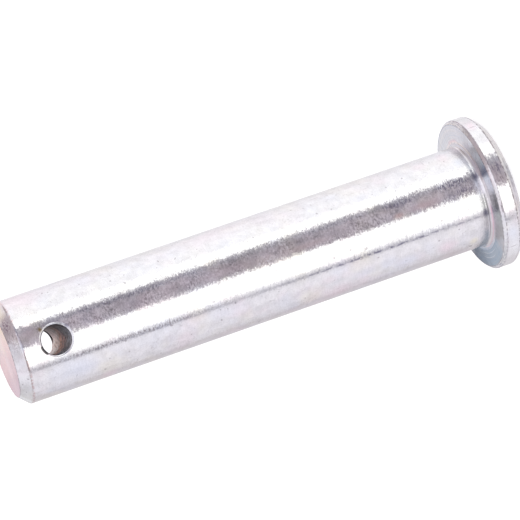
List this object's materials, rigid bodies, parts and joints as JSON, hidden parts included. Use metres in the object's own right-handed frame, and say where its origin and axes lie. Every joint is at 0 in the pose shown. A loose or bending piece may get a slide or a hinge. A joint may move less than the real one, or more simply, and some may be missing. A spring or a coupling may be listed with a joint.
{
  "type": "footrest pin",
  "caption": "Headed steel pin that hinges a motorcycle footrest: round shank with a thin round head and a cross hole near its bevelled end for a split pin.",
  "frame": {"origin": "centre of the head's outer face, on which the pin stands", "axes": "+Z along the shank from the head to the free end, X along the cross hole"},
  "size_m": [0.015, 0.015, 0.0503],
  "materials": {
    "zinc_plated_steel": "bright zinc plate over fine turning marks, with faint pink and yellow tints"
  },
  "bodies": {
    "root": {"footrest_pin": "zinc_plated_steel"}
  },
  "joints": []
}
